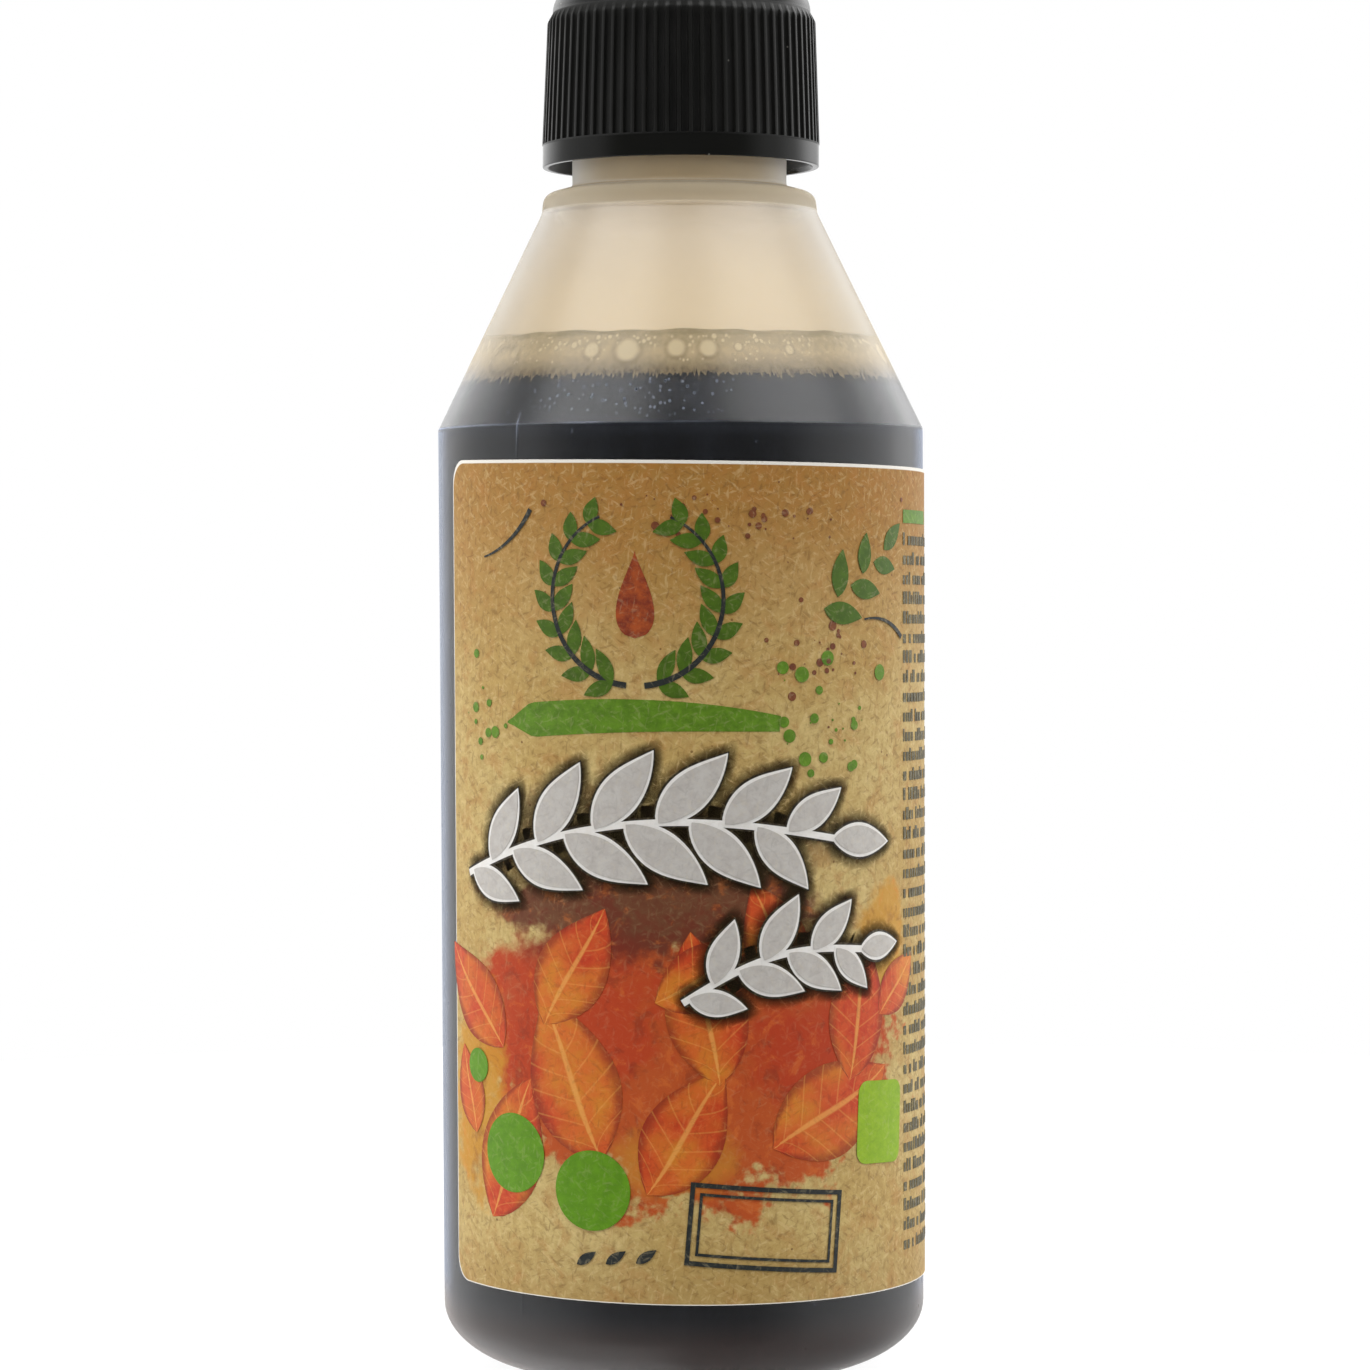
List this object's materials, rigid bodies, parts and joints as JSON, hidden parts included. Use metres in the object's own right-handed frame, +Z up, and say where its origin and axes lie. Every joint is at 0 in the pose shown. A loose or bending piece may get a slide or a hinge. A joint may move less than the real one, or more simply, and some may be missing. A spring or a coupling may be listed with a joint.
{
  "type": "syrup squeeze bottle",
  "caption": "Translucent plastic squeeze bottle of dark syrup topped by froth, with a ribbed black screw cap and a wrap-around kraft label.",
  "frame": {"origin": "middle of the base, on the surface that the bottle stands on", "axes": "+Z up along the bottle's axis, -Y towards the label's front, +X to the right seen from the front"},
  "size_m": [0.0559, 0.0564, 0.1579],
  "materials": {
    "natural_plastic": "translucent, uncoloured, softly glossy",
    "dark_syrup": "very dark brown liquid",
    "beige_froth": "fine beige froth with larger bubbles",
    "black_plastic": "moulded, semi-matt",
    "kraft_paper": "printed kraft with a satin surface"
  },
  "bodies": {
    "root": {"bottle": "natural_plastic", "syrup": "dark_syrup", "froth": "beige_froth", "cap": "black_plastic", "label": "kraft_paper"}
  },
  "joints": []
}
